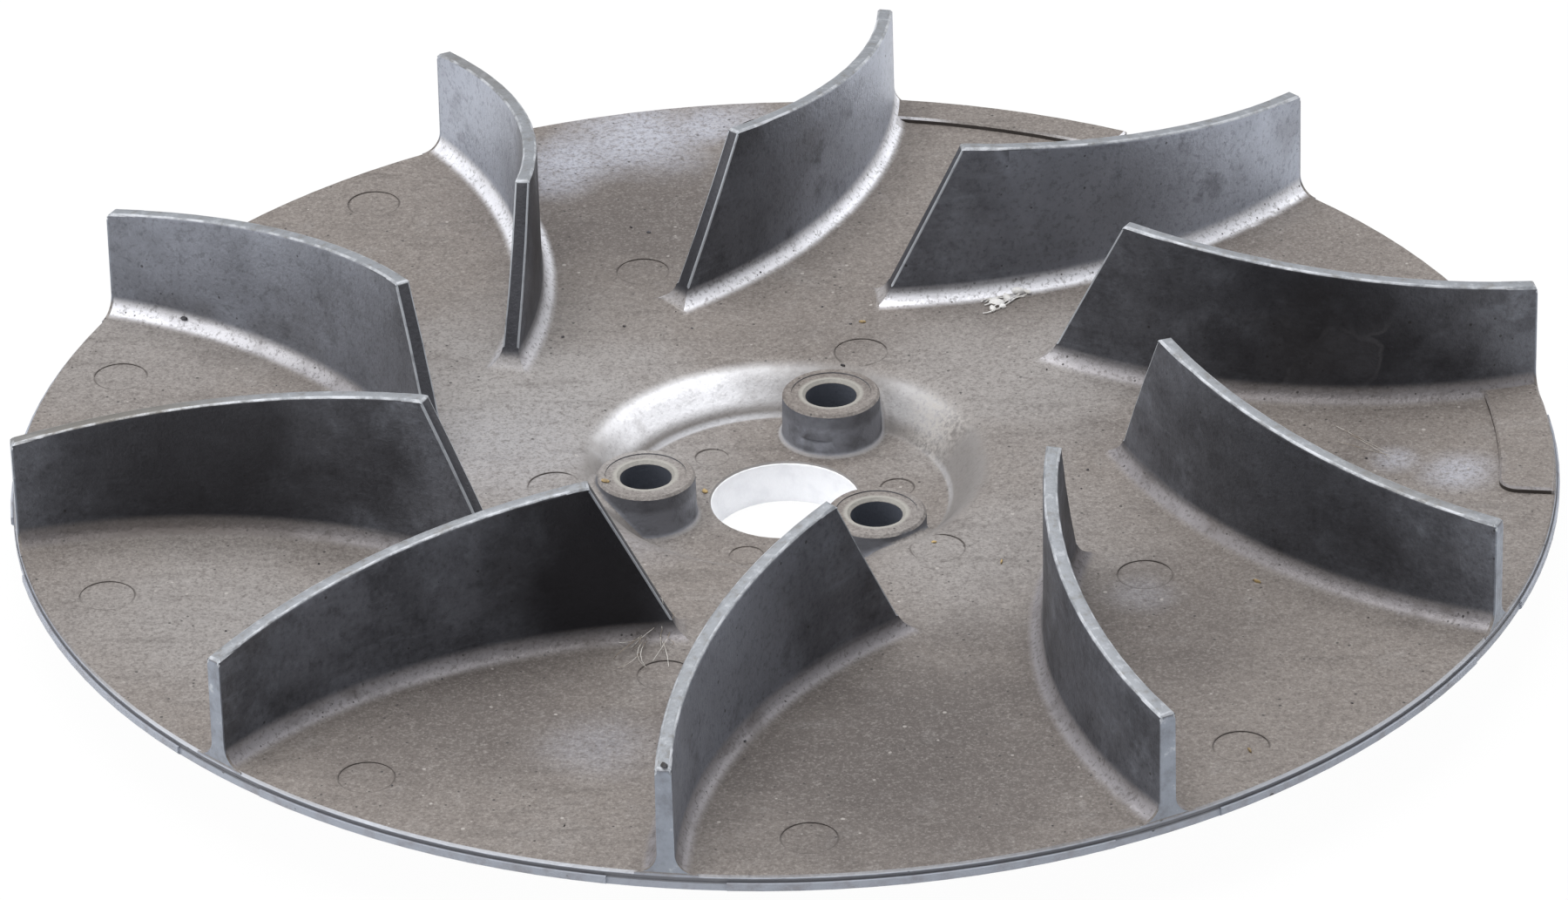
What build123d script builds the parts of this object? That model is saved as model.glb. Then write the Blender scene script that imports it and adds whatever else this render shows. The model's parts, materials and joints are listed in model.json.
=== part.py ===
from build123d import *
import math
import os

# ---------------------------------------------------------------- sizes (mm)
# wheel and backplate
WHEEL_D = 250.0          # outside diameter over the lower flange
DECK_Z = 14.6            # blade-side face of the backplate above the hub seat
RIM_T = 2.5              # backplate thickness at the rim
WEB_T = 3.2              # backplate thickness next to the hub
RIM_STEP = 0.5           # upper rim stands this far inside the lower flange
STEP_DROP = 1.05         # height of the upper rim above the flange
RIM_BREAK = 0.4          # broken edge of the upper rim
FLANGE_BREAK = 0.3       # chamfer under the flange

# hub
BORE_D = 24.0
HUB_FLOOR_T = 7.3        # metal under the pocket, length of the bore
POCKET_LEAN = 5.8        # pocket wall leans out by this from floor to deck
POCKET_FOOT_ROUND = 1.6
POCKET_LIP_ROUND = 7.0
SEAT_WALL = 6.4          # mounting seat on the back reaches this far past the pocket foot
SEAT_BREAK = 1.0
LIP_WALL = 5.6           # metal between the pocket lip and the hub's back wall
BACK_ROUND = 4.0
BORE_CHAMFER = 0.4

# screw bosses
BOSS_COUNT = 3
BOSS_PCD = 45.5
BOSS_D = 16.0
BOSS_HOLE_D = 8.4
BOSS_RISE = 0.35         # boss faces above the deck
BOSS_EDGE_BREAK = 0.4
BOSS_MERGE = 4.15        # far side of a boss stands this deep in the pocket wall
BOSS_WALL_ROUND = 1.0
BOSS_DRAFT = 1.5         # degrees
HOLE_CHAMFER = 0.5
FACING_D = 13.2          # turned facing around each screw hole
FACING_DEPTH = 0.2
FIRST_BOSS_ANGLE = 69.7

# blades
BLADE_COUNT = 10
TIP_INSET = 0.1          # blade ends stand just inside the upper rim
BLADE_TIP_H = 18.4       # height over the deck at the outer end
BLADE_EYE_R = 62.2       # inner end, measured at the top edge
BLADE_EYE_H = 28.0       # height over the deck at the inner end
BLADE_SWEEP = 15.4       # degrees from outer tip to inner top corner
BLADE_BOW = 6.2          # bow of the blade over its chord
BLADE_TOP_T = 2.4        # thickness at the inner top corner
BLADE_DRAFT = 0.35       # degrees per side
BLADE_ROOT_ROUND = 3.4
NOSE_RAKE = 26.5         # degrees the inner end leans, foot further in than top
NOSE_ROOT_ROUND = 4.5
CREST_BREAK = 0.4        # broken edges along the top of a blade
CORNER_ROUND = 0.9       # rounding of both top corners, seen from the side
FIRST_BLADE_ANGLE = -98.9

# cast and machined details of the rim
TRIM_HALF_W = 9.2        # gate trimmed off the flange at each blade
PAD_H = 1.0
PAD_CORNER_ROUND = 3.0
PAD_EDGE_BREAK = 0.35
PAD_SETBACK = 0.25       # pad kept inside the upper rim
PAD_A = (-7.8, 9.1, 115.3)     # from angle, to angle, inner radius
PAD_B = (61.0, 81.1, 117.6)

# ejector-pin witness marks
PIN_DEPTH = 0.15
PIN_BIG_D = 8.75
PIN_SMALL_D = 5.5
PIN_OUTER_R = 113.9
PIN_OUTER_LEAD = 10.1    # degrees ahead of each blade tip
PIN_MID_R = 68.5
PIN_MID_LEAD = 28.5      # degrees ahead of every second blade tip
PIN_HUB_GAP = 5.2        # from the pocket lip to the centre of a mark
PIN_FLOOR_R = 18.5

# shop values
SINK = 0.06              # root roundings dip this far into the deck
GRIP = 1.0               # depth of a blank in the metal that carries it
OVER = 3.0               # blanks and cutters run past finished faces by this

# derived
R = WHEEL_D / 2
UPPER_R = R - RIM_STEP
BLADE_TIP_R = UPPER_R - TIP_INSET
UNDER_Z = DECK_Z - RIM_T
FLOOR_Z = HUB_FLOOR_T
BOSS_Z = DECK_Z + BOSS_RISE
POCKET_FOOT_R = (BOSS_PCD + BOSS_D) / 2 - BOSS_MERGE
POCKET_LIP_R = POCKET_FOOT_R + POCKET_LEAN
SEAT_R = POCKET_FOOT_R + SEAT_WALL
BACK_WALL_R = POCKET_LIP_R + LIP_WALL
BLADE_PITCH = 360.0 / BLADE_COUNT
BOSS_PITCH = 360.0 / BOSS_COUNT
BOTTOM = (Align.CENTER, Align.CENTER, Align.MIN)


def polar(radius, angle, z=0.0):
    a = math.radians(angle)
    return Vector(radius * math.cos(a), radius * math.sin(a), z)


def tan(degrees):
    return math.tan(math.radians(degrees))


def outlined(corners, rounds, breaks):
    """Face with the given corners; rounds and breaks map a corner's index to a size."""
    face = make_face(Polyline(*corners, close=True)).face()
    for index, radius in rounds.items():
        corner = face.vertices().sort_by_distance(corners[index])[0]
        face = face.fillet_2d(radius, [corner])
    for index, length in breaks.items():
        corner = face.vertices().sort_by_distance(corners[index])[0]
        face = face.chamfer_2d(length, length, [corner])
    return face


def turned(points, rounds, breaks):
    """Solid of revolution about Z from points given as radius and height."""
    corners = [Vector(r, 0, z) for r, z in points]
    return revolve(outlined(corners, rounds, breaks), Axis.Z)


def prism(plane, points, rounds):
    """Prism reaching well to both sides of a plane."""
    corners = [plane.from_local_coords(Vector(x, y, 0)) for x, y in points]
    return extrude(outlined(corners, rounds, {}), BLADE_EYE_H, dir=plane.z_dir, both=True)


# ---------------------------------------------------------------- backplate and hub
def backplate():
    """Rim, web and dished hub with its bore, in one revolved section."""
    section = [
        (BORE_D / 2, 0),
        (SEAT_R, 0),
        (BACK_WALL_R, DECK_Z - WEB_T),
        (R, UNDER_Z),
        (R, DECK_Z - STEP_DROP),
        (UPPER_R, DECK_Z - STEP_DROP),
        (UPPER_R, DECK_Z),
        (POCKET_LIP_R, DECK_Z),
        (POCKET_FOOT_R, FLOOR_Z),
        (BORE_D / 2, FLOOR_Z),
    ]
    rounds = {
        2: BACK_ROUND,
        7: POCKET_LIP_ROUND,
        8: POCKET_FOOT_ROUND,
    }
    return turned(section, rounds, {1: SEAT_BREAK, 3: FLANGE_BREAK, 6: RIM_BREAK})


def boss():
    """Screw boss standing in the pocket floor, at the origin."""
    foot_r = BOSS_D / 2 + (BOSS_Z - FLOOR_Z) * tan(BOSS_DRAFT)
    foot_z = FLOOR_Z - GRIP
    section = [(0, foot_z), (foot_r, foot_z), (BOSS_D / 2, BOSS_Z), (0, BOSS_Z)]
    return turned(section, {}, {2: BOSS_EDGE_BREAK})


def boss_places():
    return [polar(BOSS_PCD / 2, FIRST_BOSS_ANGLE + BOSS_PITCH * k) for k in range(BOSS_COUNT)]


def boss_edges(body):
    """Edges where the bosses run into the pocket's floor and wall."""
    found = []
    for edge in body.edges():
        mid = edge.position_at(0.5)
        reach = min((mid - Vector(p.X, p.Y, mid.Z)).length for p in boss_places())
        side_r = BOSS_D / 2 + (BOSS_Z - mid.Z) * tan(BOSS_DRAFT)
        on_side = abs(reach - side_r) < SINK
        if on_side and mid.Z < BOSS_Z - BOSS_RISE - BOSS_EDGE_BREAK:
            found.append(edge)
    return found


def hub():
    """Backplate with its screw bosses blended into the pocket."""
    body = backplate().fuse(*[Pos(place) * boss() for place in boss_places()])
    return body.fillet(BOSS_WALL_ROUND, boss_edges(body))


# ---------------------------------------------------------------- blades
def blade_arc():
    """Centre and radius of the blade's plan arc, outer tip lying on +X."""
    tip = polar(BLADE_TIP_R, 0)
    chord = polar(BLADE_EYE_R, BLADE_SWEEP) - tip
    radius = (chord.length ** 2 / 4 + BLADE_BOW ** 2) / (2 * BLADE_BOW)
    unit = chord / chord.length
    across = Vector(unit.Y, -unit.X, 0)
    return tip + chord / 2 + across * (radius - BLADE_BOW), radius


def bearing(point, centre):
    return math.degrees(math.atan2(point.Y - centre.Y, point.X - centre.X))


def nose_reach():
    """How far the raked nose runs inward from the top corner to the deck."""
    return BLADE_EYE_H * tan(NOSE_RAKE)


def blade_blank():
    """Drafted blade section with both root roundings, swept on its plan arc."""
    centre, radius = blade_arc()
    top_w = BLADE_TOP_T / 2 - OVER * tan(BLADE_DRAFT)
    foot_w = BLADE_TOP_T / 2 + (BLADE_EYE_H + SINK) * tan(BLADE_DRAFT)
    skirt_w = foot_w + BLADE_ROOT_ROUND + SINK
    half = [(skirt_w, -GRIP), (skirt_w, -SINK), (foot_w, -SINK), (top_w, BLADE_EYE_H + OVER)]
    section = half + [(-w, h) for w, h in reversed(half)]
    corners = [Vector(radius + w, 0, DECK_Z + h) for w, h in section]
    face = outlined(corners, {2: BLADE_ROOT_ROUND, 5: BLADE_ROOT_ROUND}, {})
    nose_foot = math.degrees((nose_reach() + NOSE_ROOT_ROUND) / radius)
    start = bearing(polar(BLADE_EYE_R, BLADE_SWEEP), centre) - nose_foot
    stop = bearing(polar(BLADE_TIP_R, 0), centre) + math.degrees(OVER / radius)
    return Pos(centre) * Rot(0, 0, start) * revolve(face, Axis.Z, revolution_arc=stop - start)


def top_cutter():
    """Takes the blank down to the straight top line from tip to eye."""
    tip = polar(BLADE_TIP_R, 0, DECK_Z)
    chord = polar(BLADE_EYE_R, BLADE_SWEEP, DECK_Z) - tip
    plane = Plane(origin=tip, x_dir=chord, z_dir=chord.cross(Vector(0, 0, 1)))
    rise = (BLADE_EYE_H - BLADE_TIP_H) / chord.length
    back = -BLADE_EYE_H
    far = chord.length + BLADE_EYE_H
    sky = 2 * BLADE_EYE_H
    points = [
        (back, BLADE_TIP_H + rise * back),
        (far, BLADE_TIP_H + rise * far),
        (far, sky),
        (back, sky),
    ]
    return prism(upright(plane), points, {})


def upright(plane):
    """The same plane with its Y direction pointing up."""
    if plane.y_dir.Z > 0:
        return plane
    return Plane(origin=plane.origin, x_dir=plane.x_dir, z_dir=-plane.z_dir)


def tip_cutter():
    """Ends the blade square, flush with the rim."""
    size = 2 * BLADE_EYE_H
    block = Box(size, size, 2 * size, align=(Align.MIN, Align.CENTER, Align.CENTER))
    return Pos(BLADE_TIP_R, 0, DECK_Z) * block


def nose_cutter():
    """Prism whose raked face, with its foot rounding, ends the blade."""
    centre, radius = blade_arc()
    eye = polar(BLADE_EYE_R, BLADE_SWEEP, DECK_Z)
    out = polar(1, bearing(eye, centre) - math.degrees(nose_reach() / 2 / radius))
    inward = Vector(out.Y, -out.X, 0)
    top = BLADE_EYE_H + OVER
    deep = nose_reach() + 2 * BLADE_EYE_H
    points = [(nose_reach(), -SINK), (-OVER * tan(NOSE_RAKE), top), (deep, top), (deep, -SINK)]
    plane = upright(Plane(origin=eye, x_dir=inward, z_dir=out))
    return prism(plane, points, {0: NOSE_ROOT_ROUND})


def crest(body):
    """Edges around the sloping top face of a blade, the two short end edges last."""
    face = body.faces().filter_by(lambda f: f.normal_at().Z > 0.9).sort_by(Axis.Z)[-1]
    return face.edges().sort_by(lambda e: -e.length)


def blade():
    """One blade, tip on +X, with broken top edges and rounded top corners."""
    body = blade_blank() - top_cutter() - tip_cutter() - nose_cutter()
    body = body.chamfer(CREST_BREAK, None, crest(body)[:2])
    return body.fillet(CORNER_ROUND, crest(body)[2:])


def blades():
    one = blade()
    return [Rot(0, 0, FIRST_BLADE_ANGLE + BLADE_PITCH * k) * one for k in range(BLADE_COUNT)]


# ---------------------------------------------------------------- rim details
def ring_sector(inner, outer, low, high, start, stop):
    """Sector of a flat ring between two angles."""
    corners = [(inner, low), (outer, low), (outer, high), (inner, high)]
    face = outlined([Vector(r, 0, z) for r, z in corners], {}, {})
    return Rot(0, 0, start) * revolve(face, Axis.Z, revolution_arc=stop - start)


def balance_pad(spec):
    """Raised metal left at the rim for balancing, running under a blade foot."""
    start, stop, inner = spec
    outer = UPPER_R - PAD_SETBACK
    pad = ring_sector(inner, outer, DECK_Z - GRIP, DECK_Z + PAD_H, start, stop)
    upright_edge = pad.edges().filter_by(Axis.Z).sort_by_distance(polar(inner, start, DECK_Z))[0]
    pad = pad.fillet(PAD_CORNER_ROUND, [upright_edge])
    top = pad.faces().sort_by(Axis.Z)[-1]
    return pad.chamfer(PAD_EDGE_BREAK, None, top.edges())


def gate_trims():
    """Flange metal trimmed flush with the rim at the foot of each blade."""
    half = math.degrees(TRIM_HALF_W / R)
    ats = [FIRST_BLADE_ANGLE + BLADE_PITCH * k for k in range(BLADE_COUNT)]
    inner = UPPER_R + TIP_INSET
    low = UNDER_Z - OVER
    return [ring_sector(inner, R + OVER, low, DECK_Z, at - half, at + half) for at in ats]


# ---------------------------------------------------------------- marks and machining
def pin_mark(diameter, place, face_z):
    return Pos(place.X, place.Y, face_z - PIN_DEPTH) * Cylinder(diameter / 2, OVER, align=BOTTOM)


def pin_marks():
    """Shallow discs left by the ejector pins of the casting die."""
    marks = []
    for k in range(BLADE_COUNT):
        at = FIRST_BLADE_ANGLE + BLADE_PITCH * k + PIN_OUTER_LEAD
        marks.append(pin_mark(PIN_BIG_D, polar(PIN_OUTER_R, at), DECK_Z))
    for k in range(1, BLADE_COUNT, 2):
        at = FIRST_BLADE_ANGLE + BLADE_PITCH * k + PIN_MID_LEAD
        marks.append(pin_mark(PIN_BIG_D, polar(PIN_MID_R, at), DECK_Z))
    for k in range(BOSS_COUNT):
        at = FIRST_BOSS_ANGLE + BOSS_PITCH * k
        marks.append(pin_mark(PIN_BIG_D, polar(POCKET_LIP_R + PIN_HUB_GAP, at), DECK_Z))
        marks.append(pin_mark(PIN_SMALL_D, polar(PIN_FLOOR_R, at + BOSS_PITCH / 2), FLOOR_Z))
    return marks


def drill(diameter, top, chamfer):
    """Through cutter with a chamfered mouth at the given height."""
    r = diameter / 2
    mouth = r + chamfer + OVER
    section = [(0, -OVER), (r, -OVER), (r, top - chamfer), (mouth, top + OVER), (0, top + OVER)]
    return turned(section, {}, {})


def machining():
    """Screw holes, their turned facings and the bore edge."""
    face_z = BOSS_Z - FACING_DEPTH
    cuts = [drill(BORE_D, FLOOR_Z, BORE_CHAMFER)]
    for place in boss_places():
        cuts.append(Pos(place) * drill(BOSS_HOLE_D, face_z, HOLE_CHAMFER))
        cuts.append(Pos(place.X, place.Y, face_z) * Cylinder(FACING_D / 2, OVER, align=BOTTOM))
    return cuts


def impeller():
    body = hub()
    body = body.cut(*pin_marks())
    body = body.fuse(*blades())
    body = body.cut(*machining())
    body = body.cut(*gate_trims())
    body = body.fuse(balance_pad(PAD_A))
    return body.fuse(balance_pad(PAD_B))


def main():
    os.makedirs("parts", exist_ok=True)
    casting = impeller().solids().sort_by(SortBy.VOLUME)[-1]
    casting.label = "impeller"
    export_step(casting, "parts/impeller.step")


main()
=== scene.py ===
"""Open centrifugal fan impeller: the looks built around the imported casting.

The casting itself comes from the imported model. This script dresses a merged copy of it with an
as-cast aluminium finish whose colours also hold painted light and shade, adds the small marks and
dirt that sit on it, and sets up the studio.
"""

import json
import logging
import math
import random
from dataclasses import dataclass, field
from enum import Enum
from typing import Callable

import bmesh
import bpy
from bmesh.types import BMEdge
from bpy.types import Material, Node, NodeOutputs, NodeSocket, NodeTree, Object
from mathutils import Matrix, Vector

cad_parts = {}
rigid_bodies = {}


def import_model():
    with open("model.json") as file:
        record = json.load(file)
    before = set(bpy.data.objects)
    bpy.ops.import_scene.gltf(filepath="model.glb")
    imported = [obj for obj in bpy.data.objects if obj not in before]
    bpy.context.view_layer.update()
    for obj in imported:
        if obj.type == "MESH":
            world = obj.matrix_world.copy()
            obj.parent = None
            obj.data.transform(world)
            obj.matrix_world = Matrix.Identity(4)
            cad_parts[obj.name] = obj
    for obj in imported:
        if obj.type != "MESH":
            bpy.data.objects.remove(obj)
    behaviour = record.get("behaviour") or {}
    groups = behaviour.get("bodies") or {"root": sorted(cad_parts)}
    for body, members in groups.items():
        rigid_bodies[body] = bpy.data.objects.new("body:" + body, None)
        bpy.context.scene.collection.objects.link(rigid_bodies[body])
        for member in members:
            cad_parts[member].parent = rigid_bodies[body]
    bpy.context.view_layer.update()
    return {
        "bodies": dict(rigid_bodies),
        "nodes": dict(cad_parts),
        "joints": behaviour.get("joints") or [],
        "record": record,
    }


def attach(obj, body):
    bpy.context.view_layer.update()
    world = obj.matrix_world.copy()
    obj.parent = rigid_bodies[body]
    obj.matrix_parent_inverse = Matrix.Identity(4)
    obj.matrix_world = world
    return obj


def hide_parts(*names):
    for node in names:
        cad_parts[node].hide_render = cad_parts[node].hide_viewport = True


LOG = logging.getLogger("impeller")
MM = 0.001
NODE = "impeller"
BODY = "root"


def at_angle(radius: float, degrees: float) -> Vector:
    """Point at height zero, at a radius and an angle about the wheel's axis."""
    turn = math.radians(degrees)
    return Vector((radius * math.cos(turn), radius * math.sin(turn), 0.0))


@dataclass(frozen=True)
class WheelSizes:
    """Sizes of the casting and of the zones of its looks, in millimetres, in the row frame."""

    deck: float = 14.6
    floor: float = 7.3
    rim_r: float = 124.5
    deck_edge_r: float = 124.1
    pad_inner_r: float = 115.0
    hub_zone_r: float = 45.5
    nose_zone_r: float = 68.0
    calm_zone_r: float = 61.0
    pad_top: float = 1.0
    crest_low: float = 8.0
    root_round: float = 3.4
    bore_r: float = 12.0
    boss_circle_r: float = 22.75
    boss_r: float = 8.0
    hole_r: float = 4.2
    pale_ring_r: float = 5.0
    first_boss_angle: float = 69.7
    boss_count: int = 3

    def boss_centres(self) -> list[Vector]:
        """Places of the screw bosses, in plan, in metres."""
        step = 360.0 / self.boss_count
        return [
            at_angle(self.boss_circle_r, self.first_boss_angle + step * k) * MM
            for k in range(self.boss_count)
        ]


class Tone(Enum):
    """Colours, linear RGB."""

    DECK_BROWN = (0.178, 0.156, 0.141)
    DECK_DARK = (0.088, 0.074, 0.068)
    DECK_PALE = (0.270, 0.257, 0.250)
    # Dark grit; also the painted shade along the low steep walls.
    GRIT_DARK_AND_SHADE = (0.060, 0.050, 0.045)
    GRIT_PALE = (0.420, 0.395, 0.370)
    # Bluish stains; also the tone of one patch of painted light.
    STAIN_AND_LIGHT_BLUE = (0.400, 0.415, 0.475)
    BLADE_METAL = (0.150, 0.155, 0.176)
    # Dark film on the blades; also the tone of their painted shade.
    BLADE_FILM_AND_SHADE = (0.019, 0.018, 0.021)
    NOSE_DARK = (0.060, 0.060, 0.068)
    # Lighter bluish metal: painted reflection on the blades.
    BLADE_PAINTED_REFLECTION = (0.420, 0.445, 0.510)
    FILLET_GREY = (0.290, 0.275, 0.285)
    # Painted highlight on the root roundings towards the back.
    FILLET_HIGHLIGHT = (0.860, 0.860, 0.900)
    CREST_GREY = (0.250, 0.262, 0.280)
    # Bare metal on crests and blade ends; also the painted highlight on the crests' rounded edges.
    CREST_BARE_AND_HIGHLIGHT = (0.560, 0.575, 0.605)
    CREST_DUST = (0.150, 0.140, 0.125)
    END_FACE = (0.240, 0.262, 0.300)
    # Painted highlight along the blades' upright edges.
    EDGE_HIGHLIGHT = (0.420, 0.440, 0.470)
    # Painted highlight on the rim's rounded top edge.
    RIM_HIGHLIGHT = (0.480, 0.495, 0.530)
    FLANGE = (0.300, 0.320, 0.365)
    FLANGE_DULL = (0.200, 0.190, 0.200)
    # Painted shade in the groove of the parting step under the rim.
    PARTING_GROOVE_SHADE = (0.120, 0.122, 0.135)
    # Machined bore wall, its paleness partly painted reflection of the white floor.
    BORE_PALE = (0.890, 0.895, 0.915)
    BORE_CLOUD = (0.760, 0.765, 0.795)
    # Painted shade inside the screw holes.
    HOLE_DARK = (0.095, 0.105, 0.130)
    RING_CREAM = (0.330, 0.320, 0.290)
    BOSS_SIDE = (0.215, 0.222, 0.250)
    # Painted highlight on roundings: the bosses' feet and the pocket's foot.
    ROUNDING_HIGHLIGHT = (0.480, 0.480, 0.500)
    # Painted highlight on the hub pocket's wall.
    POCKET_HIGHLIGHT = (0.930, 0.930, 0.960)
    POCKET_DULL = (0.205, 0.192, 0.185)
    BLADE_TIDE = (0.125, 0.122, 0.130)
    BLADE_BROWN = (0.060, 0.052, 0.046)
    SPECK = (0.024, 0.021, 0.020)
    FIBRE = (0.210, 0.160, 0.110)
    DRIP = (0.760, 0.750, 0.740)
    STRAW = (0.420, 0.300, 0.130)
    LINT = (0.640, 0.620, 0.580)


@dataclass(frozen=True)
class Patch:
    """Soft patch in plan: place and size in millimetres, strength from 0 to 1."""

    x: float
    y: float
    radius: float
    strength: float = 1.0


# Soft patches of painted shade on the deck.
DECK_PAINTED_SHADE = (
    Patch(17, -92, 48, 0.95), Patch(-50, -74, 36, 0.80), Patch(96, 2, 16, 0.25),
    Patch(56, -56, 30, 0.60), Patch(-24, 88, 36, 0.75), Patch(8, 48, 22, 0.15),
    Patch(80, 60, 30, 0.35),
)
# Soft patches of painted light on the deck.
DECK_PAINTED_LIGHT = (
    Patch(-92, -42, 34, 0.55), Patch(-108, 44, 34, 0.45), Patch(31, -30, 32, 0.60),
    Patch(-44, 16, 46, 0.95), Patch(38, 24, 34, 0.65), Patch(98, -30, 26, 0.30),
)
# Bluish stains on the deck, and one patch of painted light.
STAINS_AND_PAINTED_LIGHT = (
    Patch(-24, 112, 17, 0.80), Patch(-38, 101, 13, 0.60), Patch(-8, 116, 10, 0.50),
    Patch(108.5, -8.5, 8, 0.60), Patch(99, -4.5, 5, 0.45), Patch(-24, -24, 12, 0.20),
    # The patch at (-30, -87) is painted light near a blade's foot, laid over the painted shade there.
    Patch(-30, -87, 12, 0.24), Patch(-46, 4, 22, 0.16), Patch(56, -45, 7, 0.22),
)
# Soft patches of painted reflection on the blades, mostly on the back ones.
BLADE_PAINTED_REFLECTION_ZONES = (
    Patch(-53, 98, 32, 0.85), Patch(16, 113, 30, 0.85), Patch(80, 84, 32, 0.90),
    Patch(-92, 38, 46, 0.32), Patch(-14, -98, 40, 0.46), Patch(8, 88, 34, 0.62),
    Patch(56, 70, 34, 0.52), Patch(-118, -22, 14, 0.12),
)
PAD_ZONES = (Patch(120, 0, 24), Patch(39, 114, 26))
# Soft patches of painted shade on the root roundings.
FILLET_PAINTED_SHADE = (
    Patch(-100, -34, 44, 1.00), Patch(84, 10, 46, 0.30), Patch(-40, -76, 34, 0.10),
    Patch(78, -46, 40, 0.12),
)
# Soft patches of painted highlight on the hub pocket's upper wall.
POCKET_HIGHLIGHT_ZONES = (Patch(-16, 27, 24, 0.95), Patch(-30, 16, 12, 0.35), Patch(22, 22, 12, 0.25))
# Where the painted highlight line along the pocket's foot shows.
POCKET_FOOT_HIGHLIGHT_ZONES = (Patch(-14, 24, 22, 0.9), Patch(30, 4, 14, 0.4))
POCKET_PITTED = (Patch(27, 17, 10, 0.75),)
# Where the painted highlight on the bosses' roundings shows.
BOSS_ROUNDING_HIGHLIGHT_ZONES = (Patch(8, 22, 16, 1.0), Patch(-10, 24, 8, 0.6), Patch(-14, -8, 9, 0.45))
# Soft patches of painted highlight along the front of the rim's top edge.
RIM_HIGHLIGHT_ZONES = (
    Patch(90, -86, 60, 0.9), Patch(20, -123, 40, 0.5), Patch(-40, -116, 40, 0.8),
    Patch(-90, -86, 46, 0.8),
)
TIDE_ZONE = (Patch(88, 26, 34, 1.0),)
CREST_DUSTY = (Patch(-108, -22, 30, 0.9), Patch(-52, 100, 24, 0.4), Patch(100, -45, 18, 0.4))
# Soft patches of painted shade on the blades, also laid on the root roundings.
BLADE_PAINTED_SHADE = (
    Patch(-92, -20, 42, 0.85), Patch(86, 28, 46, 0.75), Patch(-32, -55, 24, 0.95),
    Patch(-44, 54, 20, 0.65), Patch(-6, 66, 18, 0.35), Patch(84, -34, 40, 0.55),
)


def deselect() -> None:
    """Leave edit mode and clear the selection."""
    if bpy.context.mode != "OBJECT":
        bpy.ops.object.mode_set(mode="OBJECT")
    bpy.ops.object.select_all(action="DESELECT")


def colour(value: object) -> object:
    """A colour socket's value from a Tone, a triple or a socket."""
    if isinstance(value, Tone):
        value = value.value
    if isinstance(value, tuple) and len(value) == 3:
        return (*value, 1.0)
    return value


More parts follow.
